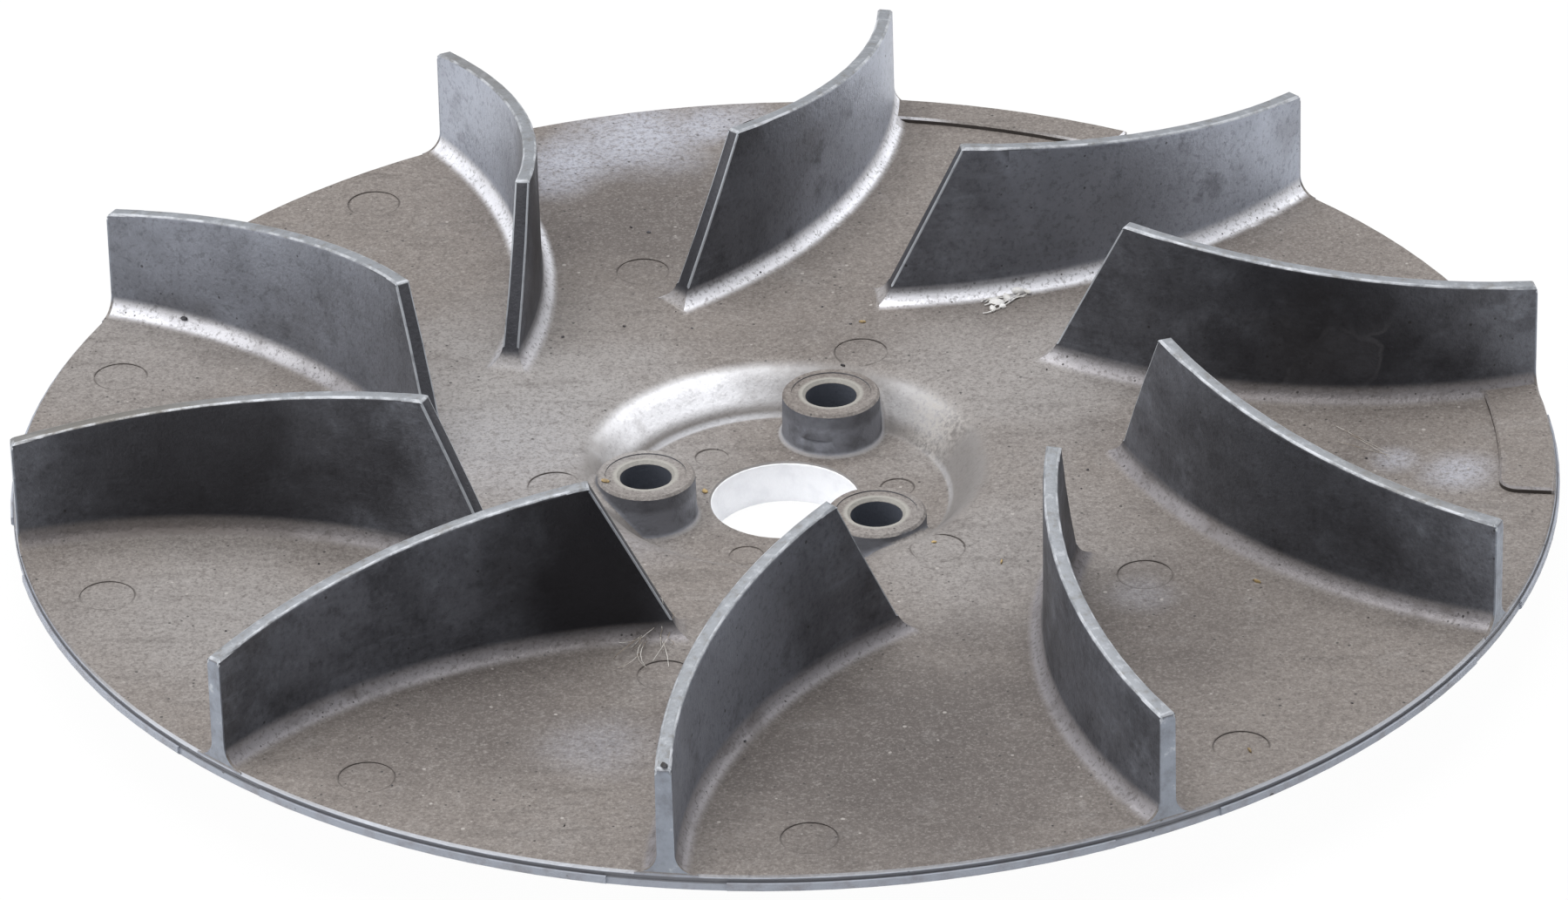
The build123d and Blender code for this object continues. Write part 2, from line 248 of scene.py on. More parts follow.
class Nodes:
    """Short-hand for building one node tree."""

    def __init__(self, tree: NodeTree) -> None:
        """Keep the tree that nodes are added to."""
        self.tree = tree

    def add(self, kind: str, **values: object) -> Node:
        """Add a node and set its properties.

        Args:
            kind: Blender's node type.
            values: properties of the node.

        Returns:
            The new node.
        """
        node = self.tree.nodes.new(kind)
        for name, value in values.items():
            setattr(node, name, value)
        return node

    def link(self, source: NodeSocket, target: NodeSocket) -> None:
        """Join two sockets."""
        self.tree.links.new(source, target)

    def feed(self, value: object, socket: NodeSocket) -> None:
        """Set a socket to a value or link it to another socket."""
        if isinstance(value, NodeSocket):
            self.link(value, socket)
        else:
            socket.default_value = value

    def math(self, op: str, a: object, b: object = 0.0, c: object = 0.0) -> NodeSocket:
        """Arithmetic on numbers or sockets."""
        node = self.add("ShaderNodeMath", operation=op)
        for socket, value in zip(node.inputs, (a, b, c)):
            self.feed(value, socket)
        return node.outputs[0]

    def ramp(self, value: object, low: float, high: float, top: object = 1.0) -> NodeSocket:
        """Smooth step of a value from 0 at low to top at high (high may be the lower)."""
        node = self.add("ShaderNodeMapRange", interpolation_type="SMOOTHSTEP", clamp=True)
        self.feed(value, node.inputs["Value"])
        node.inputs["From Min"].default_value = low
        node.inputs["From Max"].default_value = high
        self.feed(top, node.inputs["To Max"])
        return node.outputs["Result"]

    def both(self, *masks: object) -> NodeSocket:
        """Product of masks, where a (value, low, high) tuple stands for its smooth step."""
        steps = [self.ramp(*mask) if isinstance(mask, tuple) else mask for mask in masks]
        result = steps[0]
        for mask in steps[1:]:
            result = self.math("MULTIPLY", result, mask)
        return result

    def mix(self, factor: object, a: object, b: object) -> NodeSocket:
        """Mix two colours."""
        node = self.add("ShaderNodeMix", data_type="RGBA", clamp_factor=True)
        self.feed(factor, node.inputs[0])
        self.feed(colour(a), node.inputs[6])
        self.feed(colour(b), node.inputs[7])
        return node.outputs[2]

    def split(self, vector: object) -> NodeOutputs:
        """The X, Y and Z sockets of a vector."""
        node = self.add("ShaderNodeSeparateXYZ")
        self.feed(vector, node.inputs[0])
        return node.outputs

    def diagonal(self, a: object, b: object) -> NodeSocket:
        """Length of the diagonal over two sides."""
        return self.math("SQRT", self.math("ADD", self.both(a, a), self.both(b, b)))

    def plan_distance(self, vector: object, centre: object) -> NodeSocket:
        """Distance from a centre at height zero, seen from above."""
        flat = self.add("ShaderNodeVectorMath", operation="MULTIPLY")
        self.feed(vector, flat.inputs[0])
        flat.inputs[1].default_value = (1.0, 1.0, 0.0)
        away = self.add("ShaderNodeVectorMath", operation="DISTANCE")
        self.link(flat.outputs[0], away.inputs[0])
        self.feed(centre, away.inputs[1])
        return away.outputs["Value"]

    def bumped(self, height: object, strength: float, depth: float) -> NodeSocket:
        """Normal of a surface roughened by a height; depth in metres."""
        bump = self.add("ShaderNodeBump")
        bump.inputs["Strength"].default_value = strength
        bump.inputs["Distance"].default_value = depth
        self.feed(height, bump.inputs["Height"])
        return bump.outputs[0]

    def washed(self, base: object, noise: object, *washes: tuple) -> NodeSocket:
        """Base with tones over it where a noise passes some limits.

        Args:
            base: the colour below.
            noise: the noise.
            washes: low limit, high limit, strength and tone of each.

        Returns:
            The colour.
        """
        for low, high, strength, tone in washes:
            base = self.mix(self.ramp(noise, low, high, strength), base, tone)
        return base

    def stretched(self, vector: object, scale: tuple, turn: float = 0.0) -> NodeSocket:
        """Vector turned about Z and scaled per axis."""
        node = self.add("ShaderNodeMapping")
        node.inputs["Scale"].default_value = scale
        node.inputs["Rotation"].default_value = (0.0, 0.0, turn)
        self.feed(vector, node.inputs["Vector"])
        return node.outputs[0]

    def noise(self, vector: object, scale: float, detail: float = 3.0,
              rough: float = 0.5) -> NodeSocket:
        """Noise value over a vector."""
        node = self.add("ShaderNodeTexNoise")
        node.inputs["Scale"].default_value = scale
        node.inputs["Detail"].default_value = detail
        node.inputs["Roughness"].default_value = rough
        self.feed(vector, node.inputs["Vector"])
        return node.outputs["Fac"]

    def group(self, tree: NodeTree, **values: object) -> NodeSocket:
        """Place a shared group and feed its inputs by name.

        Returns:
            The group's first output.
        """
        node = self.add("ShaderNodeGroup")
        node.node_tree = tree
        for name, value in values.items():
            self.feed(value, node.inputs[name])
        return node.outputs[0]


def blank_material(name: str) -> tuple[Material, Nodes]:
    """New material with an empty tree."""
    mat = bpy.data.materials.new(name)
    mat.use_nodes = True
    mat.node_tree.nodes.clear()
    return mat, Nodes(mat.node_tree)


def solid_material(name: str) -> tuple[Material, Nodes, Node]:
    """New material with one principled shader on its output."""
    mat, n = blank_material(name)
    bsdf = n.add("ShaderNodeBsdfPrincipled")
    n.link(bsdf.outputs[0], n.add("ShaderNodeOutputMaterial").inputs["Surface"])
    return mat, n, bsdf


class SharedGroup:
    """Base of the shader groups that are built once and placed many times."""

    name = ""
    inputs: dict[str, str] = {}

    @classmethod
    def tree(cls) -> NodeTree:
        """The group's tree, built on first use."""
        found = bpy.data.node_groups.get(cls.name)
        if found:
            return found
        tree = bpy.data.node_groups.new(cls.name, "ShaderNodeTree")
        for name, kind in cls.inputs.items():
            tree.interface.new_socket(name, in_out="INPUT", socket_type=f"NodeSocket{kind}")
        tree.interface.new_socket("Mask", in_out="OUTPUT", socket_type="NodeSocketFloat")
        n = Nodes(tree)
        given = n.add("NodeGroupInput").outputs
        n.link(cls.fill(n, given), n.add("NodeGroupOutput").inputs["Mask"])
        return tree

    @classmethod
    def fill(cls, n: Nodes, given: NodeOutputs) -> NodeSocket:
        """Build the inside and return the mask socket."""
        raise NotImplementedError


class Speckle(SharedGroup):
    """Sparse round specks of varied size."""

    name = "Speckle"
    inputs = {"Vector": "Vector", "Scale": "Float", "Share": "Float"}

    @classmethod
    def fill(cls, n: Nodes, given: NodeOutputs) -> NodeSocket:
        """Keep a share of the cells and draw a soft dot in each."""
        cells = n.add("ShaderNodeTexVoronoi", feature="F1")
        n.link(given["Vector"], cells.inputs["Vector"])
        n.link(given["Scale"], cells.inputs["Scale"])
        chance = n.add("ShaderNodeSeparateColor")
        n.link(cells.outputs["Color"], chance.inputs[0])
        kept = n.math("LESS_THAN", chance.outputs[0], given["Share"])
        size = n.math("MULTIPLY_ADD", chance.outputs[1], 0.22, 0.12)
        return n.both(kept, n.ramp(n.math("SUBTRACT", size, cells.outputs["Distance"]), 0.0, 0.10))


class SoftPatch(SharedGroup):
    """Patch with a ragged soft edge, seen from above."""

    name = "Soft patch"
    inputs = {"Vector": "Vector", "Centre": "Vector", "Radius": "Float", "Strength": "Float"}

    @classmethod
    def fill(cls, n: Nodes, given: NodeOutputs) -> NodeSocket:
        """Distance in plan, roughened by noise, turned into a mask."""
        reach = n.math("DIVIDE", n.plan_distance(given["Vector"], given["Centre"]), given["Radius"])
        ragged = n.math("MULTIPLY_ADD", n.noise(given["Vector"], 60.0, 4.0, 0.6), 0.8, -0.4)
        return n.ramp(n.math("ADD", reach, ragged), 1.1, 0.15, given["Strength"])


class PolarRings(SharedGroup):
    """Thin circles repeated about the wheel's axis; lengths in millimetres."""

    line_core = 0.08
    line_edge = 0.26
    name = "Polar rings"
    inputs = {"Vector": "Vector", "Reach": "Float", "Lead": "Float", "Pitch": "Float", "Size": "Float"}

    @classmethod
    def fill(cls, n: Nodes, given: NodeOutputs) -> NodeSocket:
        """Fold the plane into one sector and draw a circle in it."""
        x, y = (n.math("MULTIPLY", socket, 1.0 / MM) for socket in n.split(given["Vector"])[:2])
        radius = n.diagonal(x, y)
        turn = n.math("SUBTRACT", n.math("ARCTAN2", y, x), given["Lead"])
        sector = n.math("ROUND", n.math("DIVIDE", turn, given["Pitch"]))
        local = n.math("SUBTRACT", turn, n.both(sector, given["Pitch"]))
        ahead = n.math("SUBTRACT", n.both(radius, n.math("COSINE", local)), given["Reach"])
        aside = n.both(radius, n.math("SINE", local))
        off_line = n.math("SUBTRACT", n.diagonal(ahead, aside), given["Size"])
        return n.ramp(n.math("ABSOLUTE", off_line), cls.line_edge, cls.line_core)


@dataclass(frozen=True)
class PinRow:
    """One row of ejector marks: radius and size in millimetres, angles in degrees."""

    reach: float
    lead: float
    pitch: float
    size: float

    def mask(self, n: Nodes, p: object) -> NodeSocket:
        """Circle lines of this row."""
        return n.group(
            PolarRings.tree(),
            Vector=p,
            Reach=self.reach,
            Lead=math.radians(self.lead),
            Pitch=math.radians(self.pitch),
            Size=self.size,
        )


PIN_ROWS = (
    PinRow(113.9, -88.8, 36.0, 4.375),
    PinRow(68.5, -34.4, 72.0, 4.375),
    PinRow(37.6, 69.7, 120.0, 4.375),
    PinRow(18.5, 129.7, 120.0, 2.75),
)


def patched(n: Nodes, p: object, patches: tuple[Patch, ...]) -> NodeSocket:
    """Sum of soft patches, kept between 0 and 1 by the mix that uses it."""
    total: object = 0.0
    for patch in patches:
        mask = n.group(
            SoftPatch.tree(),
            Vector=p,
            Centre=(patch.x * MM, patch.y * MM, 0.0),
            Radius=patch.radius * MM,
            Strength=patch.strength,
        )
        total = n.math("ADD", total, mask)
    return total


def speckled(n: Nodes, p: object, base: object, tone: Tone, scale: float, share: float,
             strength: float) -> NodeSocket:
    """Base colour with a share of a cell pattern's specks laid over it.

    Args:
        n: the tree.
        p: object coordinates.
        base: the colour below.
        tone: the specks' colour.
        scale: cells per metre.
        share: share of the cells that hold a speck.
        strength: how much of the base they hide.

    Returns:
        The colour.
    """
    specks = n.group(Speckle.tree(), Vector=p, Scale=scale, Share=share)
    return n.mix(n.both(specks, strength), base, tone)


@dataclass(frozen=True)
class CastAluminium:
    """As-cast, dusty aluminium that knows the wheel's zones by place and slope, with painted light and
    shade in its colour.
    """

    name: str = "Cast aluminium"
    sizes: WheelSizes = field(default_factory=WheelSizes)

    def build(self) -> Material:
        """Make the material.

        Returns:
            The finished material.
        """
        mat, n, bsdf = solid_material(self.name)
        place = n.add("ShaderNodeTexCoord").outputs
        p = place["Object"]
        zones = self.zones(n, p, place["Normal"])
        n.link(self.colour(n, p, zones), bsdf.inputs["Base Color"])
        bright = n.math("MAXIMUM", zones["crest"], zones["rim"])
        metal = n.math("MULTIPLY_ADD", zones["wall"], 0.45, 0.10)
        metal = n.math("MAXIMUM", metal, n.both(bright, 0.55))
        metal = n.math("MAXIMUM", metal, n.both(zones["fillet"], 0.45))
        n.link(metal, bsdf.inputs["Metallic"])
        rough = n.math("MULTIPLY_ADD", n.noise(p, 260.0, 4.0), 0.20, 0.50)
        rough = n.math("SUBTRACT", rough, n.both(zones["fillet"], 0.10))
        rough = n.math("SUBTRACT", rough, n.both(zones["wall"], 0.08))
        n.link(rough, bsdf.inputs["Roughness"])
        grain = n.math("MULTIPLY_ADD", n.noise(p, 280.0, 3.0), 0.8, n.noise(p, 1600.0, 4.0, 0.6))
        n.link(n.bumped(grain, strength=0.30, depth=0.0004), bsdf.inputs["Normal"])
        return mat

    def colour(self, n: Nodes, p: object, zones: dict[str, NodeSocket]) -> NodeSocket:
        """Colour of the whole casting: the deck's, with each zone's laid over it in turn.

        Args:
            n: the material's tree.
            p: object coordinates.
            zones: the zones' masks.

        Returns:
            The colour.
        """
        # Noise that breaks up the painted highlight on the crests' rounded edges.
        crest_highlight_breakup = n.ramp(n.noise(p, 260.0, 4.0, 0.65), 0.36, 0.66, 0.8)
        layers = (
            (zones["wall"], self.blade_colour(n, p)),
            (zones["boss"], self.boss_colour(n, p)),
            # Painted highlight on the roundings where the bosses meet the pocket wall.
            (n.both(zones["boss_rounding"], patched(n, p, BOSS_ROUNDING_HIGHLIGHT_ZONES)), Tone.ROUNDING_HIGHLIGHT),
            (zones["fillet"], self.fillet_colour(n, p)),
            (zones["pocket"], self.pocket_colour(n, p, zones["depth"])),
            # Painted shade on the half-tilted faces near the blades' noses.
            (n.both(zones["nose"], 0.75), Tone.NOSE_DARK),
            (zones["crest"], self.crest_colour(n, p)),
            # Painted highlight on the crests' rounded edges, picked by their slope.
            (n.both(zones["crest_edge"], crest_highlight_breakup), Tone.CREST_BARE_AND_HIGHLIGHT),
            (zones["end_face"], self.end_colour(n, p)),
            (zones["flange"], self.flange_colour(n, p)),
            # Painted highlight on the rim's rounded edge.
            (n.both(zones["rim"], patched(n, p, RIM_HIGHLIGHT_ZONES)), Tone.RIM_HIGHLIGHT),
            # Painted shade in the groove of the parting step under the rim.
            (zones["parting"], Tone.PARTING_GROOVE_SHADE),
            # Painted shade along the low steep walls at deck level: the pads' feet and the ejector
            # marks' walls.
            (zones["line"], Tone.GRIT_DARK_AND_SHADE),
            (n.both(zones["flat"], self.pin_lines(n, p)), Tone.GRIT_DARK_AND_SHADE),
            (n.both(zones["ring"], 0.7), Tone.RING_CREAM),
            # Painted shade inside the screw holes.
            (zones["hole"], Tone.HOLE_DARK),
            (zones["bore"], self.bore_colour(n, p)),
        )
        base = self.deck_colour(n, p)
        for mask, tone in layers:
            base = n.mix(mask, base, tone)
        return base

    def zones(self, n: Nodes, p: object, normal: object) -> dict[str, NodeSocket]:
        """Masks of the casting's zones.

        Args:
            n: the material's tree.
            p: object coordinates.
            normal: object-space normal.

        Returns:
            Zone name to mask socket.
        """
        s = self.sizes
        x, y, z = (n.math("MULTIPLY", socket, 1.0 / MM) for socket in n.split(p))
        nx, ny, nz = n.split(normal)
        radius = n.diagonal(x, y)
        height = n.math("SUBTRACT", z, s.deck)
        hole = self.hole_distance(n, p)
        inside = n.ramp(radius, s.hub_zone_r + 0.5, s.hub_zone_r - 0.5)
        outside = n.ramp(radius, s.hub_zone_r - 0.5, s.hub_zone_r + 0.5)
        before_rim = n.ramp(radius, s.deck_edge_r - 0.08, s.deck_edge_r - 0.2)
        fillet_top = s.root_round - 0.2
        above = n.ramp(height, fillet_top - 2.0, fillet_top)
        below = n.ramp(height, fillet_top, fillet_top - 2.0)
        on_blade = n.ramp(height, s.crest_low, s.crest_low + 1.0)
        pad_inside = (radius, s.pad_inner_r - 0.2, s.pad_inner_r + 0.2)
        on_pad = n.both((height, s.pad_top + 0.3, s.pad_top), pad_inside, patched(n, p, PAD_ZONES))
        off_pads = n.math("SUBTRACT", 1.0, on_pad)
        calm = self.calm_nose(n, (x, y), (nx, ny, nz), radius)
        steep = n.ramp(nz, 0.985, 0.82)
        boss, edge = s.boss_r, s.deck_edge_r
        return {
            "wall": n.both(above, (nz, 0.80, 0.40)),
            "fillet": n.both(outside, below, (height, -0.02, 0.06), steep, before_rim, off_pads, calm),
            "pocket": n.both(
                inside, steep, (height, 0.02, -0.5), (nz, 0.05, 0.3), (hole, boss + 0.3, boss + 0.9)
            ),
            "depth": height,
            "flat": n.both((nz, 0.93, 0.97), before_rim, (height, 0.05, 0.0)),
            "boss": n.both(
                (hole, boss + 0.45, boss + 0.25),
                n.math("MAXIMUM", n.ramp(nz, 0.75, 0.3), n.ramp(height, -0.9, -1.2)),
            ),
            "boss_rounding": n.both(
                (hole, boss + 0.1, boss + 0.4), (hole, boss + 1.5, boss + 0.9), (nz, 0.05, 0.3),
                (nz, 0.98, 0.85), (height, 0.0, -0.4)
            ),
            "nose": n.both(
                above, (nz, 0.20, 0.35), (nz, 0.65, 0.55), (radius, s.nose_zone_r + 4.0, s.nose_zone_r)
            ),
            "crest": n.both(on_blade, (nz, 0.50, 0.64)),
            "crest_edge": n.both(on_blade, (nz, 0.45, 0.62), (nz, 0.97, 0.88)),
            "end_face": n.both((radius, edge - 0.05, edge + 0.15), (height, 0.0, 0.3), (nz, 0.5, 0.2)),
            "flange": n.both((radius, edge + 0.2, edge + 0.35), (height, 0.1, -0.2)),
            "rim": n.both(
                (radius, edge - 0.1, edge + 0.05), (nz, 0.4, 0.6), (nz, 0.97, 0.85),
                (height, 0.3, 0.1), (height, -0.8, -0.5)
            ),
            "parting": n.both(
                (radius, s.rim_r - 0.1, s.rim_r - 0.03), (radius, s.rim_r + 0.25, s.rim_r + 0.1),
                (height, -0.35, -0.6), (height, -1.4, -1.2)
            ),
            "line": n.both(
                (nz, 0.6, 0.3), (height, 0.75, 0.55), (height, -0.3, -0.2),
                (radius, edge - 0.2, edge - 0.4), (hole, boss + 0.2, boss + 1.0)
            ),
            "ring": n.both(
                (hole, s.pale_ring_r + 0.6, s.pale_ring_r), (height, -0.4, -0.2), inside, (nz, 0.3, 0.5)
            ),
            "hole": n.both((hole, s.hole_r + 0.12, s.hole_r + 0.05), (nz, 0.5, 0.3)),
            "bore": n.ramp(radius, s.bore_r + 0.14, s.bore_r + 0.06),
        }

    def calm_nose(self, n: Nodes, place: tuple, facing: tuple, radius: object) -> NodeSocket:
        """Damp the root roundings' colour and its painted highlight where they face along the turn, at
        the blades' noses.

        Args:
            n: the material's tree.
            place: X and Y, in millimetres.
            facing: the normal's three parts.
            radius: distance from the axis, in millimetres.

        Returns:
            The share of the brightness that stays.
        """
        x, y = place
        nx, ny, nz = facing
        along = n.math("SUBTRACT", n.both(ny, x), n.both(nx, y))
        sideways = n.math("MAXIMUM", n.math("SUBTRACT", 1.0, n.both(nz, nz)), 0.01)
        level = n.both(radius, n.math("SQRT", sideways))
        calm_r = self.sizes.calm_zone_r
        at_nose = n.both((n.math("DIVIDE", along, level), 0.55, 0.80), (radius, calm_r + 5.0, calm_r))
        return n.math("MULTIPLY_ADD", at_nose, -0.75, 1.0)

    def hole_distance(self, n: Nodes, p: object) -> NodeSocket:
        """Distance in plan from the nearest screw hole's axis, in millimetres."""
        nearest: object = 1.0
        for centre in self.sizes.boss_centres():
            nearest = n.math("MINIMUM", nearest, n.plan_distance(p, centre))
        return n.math("MULTIPLY", nearest, 1.0 / MM)

    def deck_colour(self, n: Nodes, p: object) -> NodeSocket:
        """Dusty brown with a fine grain, painted light and painted shade in soft patches, faint streaks
        and specks.
        """
        # Painted light, then painted shade, in soft patches over the deck's brown.
        base = n.mix(patched(n, p, DECK_PAINTED_LIGHT), Tone.DECK_BROWN, Tone.DECK_PALE)
        base = n.mix(patched(n, p, DECK_PAINTED_SHADE), base, Tone.DECK_DARK)
        shade, glow = (0.55, 0.75, 0.35, Tone.DECK_DARK), (0.45, 0.28, 0.30, Tone.DECK_PALE)
        base = n.washed(base, n.noise(p, 34.0, 5.0, 0.6), shade, glow)
        streak = n.noise(n.stretched(p, (0.18, 1.0, 1.0), 0.12), 330.0, 3.0)
        base = n.washed(base, streak, (0.55, 0.72, 0.25, Tone.GRIT_DARK_AND_SHADE))
        shade, glow = (0.52, 0.72, 0.32, Tone.DECK_DARK), (0.46, 0.28, 0.22, Tone.DECK_PALE)
        base = n.washed(base, n.noise(p, 130.0, 6.0, 0.7), shade, glow)
        mottle = n.noise(p, 900.0, 4.0, 0.7)
        shade, glow = (0.50, 0.66, 0.44, Tone.DECK_DARK), (0.46, 0.34, 0.14, Tone.GRIT_PALE)
        base = n.washed(base, mottle, shade, glow)
        # Bluish stains and one patch of painted light, broken up by the mottle.
        base = n.mix(n.both(patched(n, p, STAINS_AND_PAINTED_LIGHT), (mottle, 0.85, 0.40)), base, Tone.STAIN_AND_LIGHT_BLUE)
        shade, glow = (0.50, 0.68, 0.50, Tone.GRIT_DARK_AND_SHADE), (0.48, 0.32, 0.26, Tone.GRIT_PALE)
        base = n.washed(base, n.noise(p, 2100.0, 3.0, 0.7), shade, glow)
        base = speckled(n, p, base, Tone.SPECK, scale=1100.0, share=0.07, strength=0.8)
        return speckled(n, p, base, Tone.GRIT_PALE, scale=800.0, share=0.02, strength=0.6)

    def blade_colour(self, n: Nodes, p: object) -> NodeSocket:
        """Bluish metal under a dark film of uneven weight, with painted reflection and painted shade in
        soft patches.
        """
        film = (0.35, 0.70, 0.55, Tone.BLADE_FILM_AND_SHADE)
        base = n.washed(Tone.BLADE_METAL, n.noise(p, 70.0, 5.0, 0.6), film)
        # Painted reflection: lighter bluish metal in soft patches.
        base = n.mix(patched(n, p, BLADE_PAINTED_REFLECTION_ZONES), base, Tone.BLADE_PAINTED_REFLECTION)
        bare, film = (0.50, 0.74, 0.36, Tone.FLANGE), (0.47, 0.28, 0.42, Tone.BLADE_FILM_AND_SHADE)
        base = n.washed(base, n.noise(p, 120.0, 6.0, 0.68), bare, film)
        base = n.washed(base, n.noise(p, 40.0, 3.0), (0.55, 0.75, 0.4, Tone.BLADE_BROWN))
        smear = n.noise(n.stretched(p, (0.35, 0.35, 2.2)), 240.0, 4.0, 0.6)
        base = n.washed(base, smear, (0.54, 0.74, 0.16, Tone.FLANGE))
        film, bare = (0.50, 0.66, 0.28, Tone.BLADE_FILM_AND_SHADE), (0.46, 0.32, 0.12, Tone.FLANGE)
        base = n.washed(base, n.noise(p, 1000.0, 4.0, 0.7), film, bare)
        # Painted shade: soft patches in the film's dark tone.
        base = n.mix(patched(n, p, BLADE_PAINTED_SHADE), base, Tone.BLADE_FILM_AND_SHADE)
        base = n.mix(n.both(self.tide_marks(n, p), patched(n, p, TIDE_ZONE)), base, Tone.BLADE_TIDE)
        return speckled(n, p, base, Tone.SPECK, scale=1000.0, share=0.03, strength=0.7)

    def tide_marks(self, n: Nodes, p: object) -> NodeSocket:
        """Scalloped marks of dried water on the lower half of a blade."""
        low = n.ramp(n.split(p)[2], 31.0 * MM, 27.0 * MM)
        warp = n.add("ShaderNodeVectorMath", operation="MULTIPLY_ADD")
        swirl = n.add("ShaderNodeTexNoise")
        swirl.inputs["Scale"].default_value = 160.0
        n.feed(p, swirl.inputs["Vector"])
        n.link(swirl.outputs["Color"], warp.inputs[0])
        warp.inputs[1].default_value = (0.006, 0.006, 0.006)
        n.feed(p, warp.inputs[2])
        cells = n.add("ShaderNodeTexVoronoi", feature="F1")
        cells.inputs["Scale"].default_value = 75.0
        n.link(warp.outputs[0], cells.inputs["Vector"])
        away = cells.outputs["Distance"]
        veil = n.ramp(away, 0.50, 0.42, 0.22)
        edge = n.both(n.ramp(away, 0.52, 0.485), n.ramp(away, 0.42, 0.47, 0.5))
        return n.both(low, n.math("MAXIMUM", veil, edge), n.ramp(n.noise(p, 90.0, 2.0), 0.35, 0.6))

    def boss_colour(self, n: Nodes, p: object) -> NodeSocket:
        """Dark bluish sides of the screw bosses, darker under their tops."""
        cloud = n.noise(p, 300.0, 4.0, 0.6)
        base = n.washed(Tone.BOSS_SIDE, cloud, (0.42, 0.72, 0.6, Tone.NOSE_DARK))
        return n.mix(n.both((n.split(p)[2], 11.6 * MM, 12.8 * MM), 0.45), base, Tone.NOSE_DARK)

    def fillet_colour(self, n: Nodes, p: object) -> NodeSocket:
        """Root roundings: a painted highlight that grows towards the back of the wheel, painted shade in
        patches, pitted all over.
        """
        back = n.ramp(n.split(p)[1], 15.0 * MM, 65.0 * MM)
        # Painted highlight: lighter towards the back of the wheel.
        base = n.mix(back, Tone.FILLET_GREY, Tone.FILLET_HIGHLIGHT)
        uneven = n.math("MULTIPLY_ADD", back, -0.35, 0.5)
        cloud = n.ramp(n.noise(p, 160.0, 4.0, 0.6), 0.48, 0.72)
        # Painted shade from the blades' patches and the roundings' own patches.
        shadow = n.both(patched(n, p, BLADE_PAINTED_SHADE), 0.6)
        for mask in (n.both(cloud, uneven), shadow, patched(n, p, FILLET_PAINTED_SHADE)):
            base = n.mix(mask, base, Tone.DECK_DARK)
        base = n.washed(base, n.noise(p, 1400.0, 3.0, 0.65), (0.50, 0.68, 0.5, Tone.GRIT_DARK_AND_SHADE))
        return speckled(n, p, base, Tone.SPECK, scale=1300.0, share=0.14, strength=0.85)

    def pocket_colour(self, n: Nodes, p: object, depth: object) -> NodeSocket:
        """Wall of the hub pocket: painted highlight on the lip at the back left, dull lower wall, and a
        painted highlight line along the foot.
        """
        # Painted highlight on the upper part of the pocket wall.
        lip_highlight = n.both(patched(n, p, POCKET_HIGHLIGHT_ZONES), (depth, -6.2, -4.2))
        base = n.mix(lip_highlight, Tone.POCKET_DULL, Tone.POCKET_HIGHLIGHT)
        base = n.washed(base, n.noise(p, 200.0, 5.0, 0.6), (0.48, 0.72, 0.3, Tone.DECK_BROWN))
        foot = n.both((depth, -6.2, -6.8), (depth, -7.28, -7.1))
        # Painted highlight line along the foot rounding.
        base = n.mix(n.both(foot, patched(n, p, POCKET_FOOT_HIGHLIGHT_ZONES)), base, Tone.ROUNDING_HIGHLIGHT)
        rough = n.noise(p, 1100.0, 4.0, 0.7)
        base = n.washed(base, rough, (0.50, 0.68, 0.22, Tone.GRIT_DARK_AND_SHADE))
        return n.mix(n.both(patched(n, p, POCKET_PITTED), (rough, 0.60, 0.38)), base, Tone.GRIT_PALE)

    def crest_colour(self, n: Nodes, p: object) -> NodeSocket:
        """Brushed grey top edges, dusty in places."""
        dust, bare = (0.48, 0.72, 0.6, Tone.CREST_DUST), (0.46, 0.30, 0.3, Tone.CREST_BARE_AND_HIGHLIGHT)
        base = n.washed(Tone.CREST_GREY, n.noise(p, 500.0, 5.0, 0.65), dust, bare)
        return n.mix(patched(n, p, CREST_DUSTY), base, Tone.CREST_DUST)

    def end_colour(self, n: Nodes, p: object) -> NodeSocket:
        """Outer end faces of the blades."""
        dull, bare = (0.42, 0.70, 0.7, Tone.BLADE_METAL), (0.40, 0.25, 0.6, Tone.CREST_BARE_AND_HIGHLIGHT)
        return n.washed(Tone.END_FACE, n.noise(p, 350.0, 5.0, 0.65), dull, bare)

    def bore_colour(self, n: Nodes, p: object) -> NodeSocket:
        """Machined wall of the centre bore, faintly clouded; its paleness is partly the machining and
        partly painted reflection of the white floor below.
        """
        cloud = n.noise(p, 260.0, 5.0, 0.6)
        return n.washed(Tone.BORE_PALE, cloud, (0.45, 0.70, 0.5, Tone.BORE_CLOUD))

    def pin_lines(self, n: Nodes, p: object) -> NodeSocket:
        """Circle lines of the ejector marks, fading in and out."""
        total: object = 0.0
        for row in PIN_ROWS:
            total = n.math("MAXIMUM", total, row.mask(n, p))
        return n.both(total, n.ramp(n.noise(p, 220.0, 2.0), 0.30, 0.60, 0.75))

    def flange_colour(self, n: Nodes, p: object) -> NodeSocket:
        """Trimmed flange and rim wall."""
        cloud = n.noise(p, 300.0, 5.0, 0.6)
        base = n.washed(Tone.FLANGE, cloud, (0.45, 0.75, 0.7, Tone.FLANGE_DULL))
        return speckled(n, p, base, Tone.SPECK, scale=700.0, share=0.06, strength=0.8)


